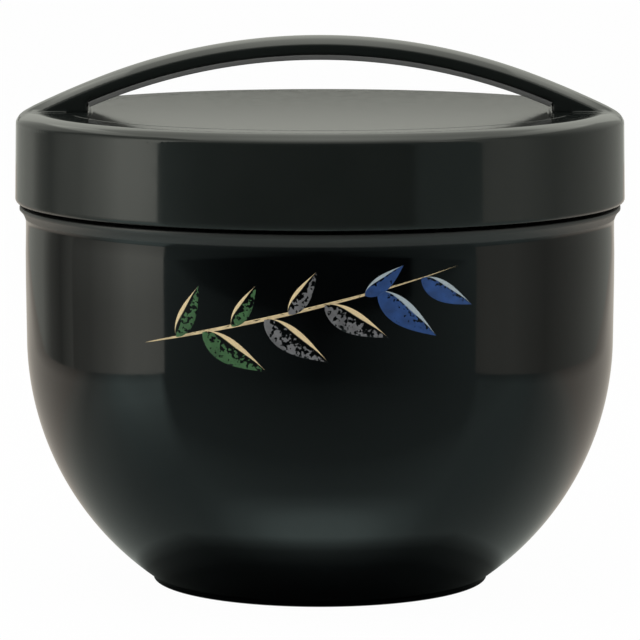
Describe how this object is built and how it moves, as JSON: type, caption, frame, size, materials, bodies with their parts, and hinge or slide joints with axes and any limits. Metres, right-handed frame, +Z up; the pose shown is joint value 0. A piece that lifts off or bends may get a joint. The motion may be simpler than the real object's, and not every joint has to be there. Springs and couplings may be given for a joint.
{
  "type": "lidded rice bowl",
  "caption": "Round double-walled rice bowl on a small foot, with a topping tray, a sealed inner lid and a screw-on lid with an arched carrying handle.",
  "frame": {"origin": "middle of the foot, on the surface that the bowl stands on", "axes": "+Z up along the bowl's axis, X along the handle, -Y towards the printed front"},
  "size_m": [0.145, 0.145, 0.1302],
  "materials": {
    "bowl_lacquer": "deep black gloss lacquer",
    "lid_lacquer": "black lacquer, a little softer than the bowl",
    "liner_black": "moulded black plastic, satin",
    "grip_grey": "dark grey soft-touch strip, matt",
    "tray_red": "vermilion lacquer look",
    "frosted_clear": "frosted clear plastic",
    "seal_silicone": "milky silicone rubber"
  },
  "bodies": {
    "bowl": {"bowl_shell": "bowl_lacquer", "bowl_liner": "liner_black", "base_cap": "bowl_lacquer"},
    "tray": {"topping_tray": "tray_red"},
    "inner_lid": {"inner_lid": "frosted_clear", "inner_seal": "seal_silicone"},
    "vent": {"vent_plug": "seal_silicone"},
    "lid_seal": {"lid_seal": "seal_silicone"},
    "lid": {"lid_shell": "lid_lacquer", "handle_grip": "grip_grey", "lid_panel": "lid_lacquer", "lid_liner": "liner_black"}
  },
  "joints": [
    {"name": "tray_lift", "type": "slide", "parent": "bowl", "child": "tray", "axis": [0, 0, 1], "range_m": [0, 0.07]},
    {"name": "inner_lid_lift", "type": "slide", "parent": "tray", "child": "inner_lid", "axis": [0, 0, 1], "range_m": [0, 0.045]},
    {"name": "vent_pull", "type": "slide", "parent": "inner_lid", "child": "vent", "axis": [0, 0, 1], "range_m": [0, 0.003]},
    {"name": "lid_rise", "type": "slide", "parent": "inner_lid", "child": "lid_seal", "axis": [0, 0, 1], "range_m": [0, 0.0361]},
    {"name": "lid_turn", "type": "hinge", "parent": "lid_seal", "child": "lid", "pos_m": [0, 0, 0.1], "axis": [0, 0, 1], "range_deg": [0, 540]}
  ],
  "couplings": [
    {"joint": "lid_rise", "follows": "lid_turn", "m_per_rad": 0.0038197}
  ]
}
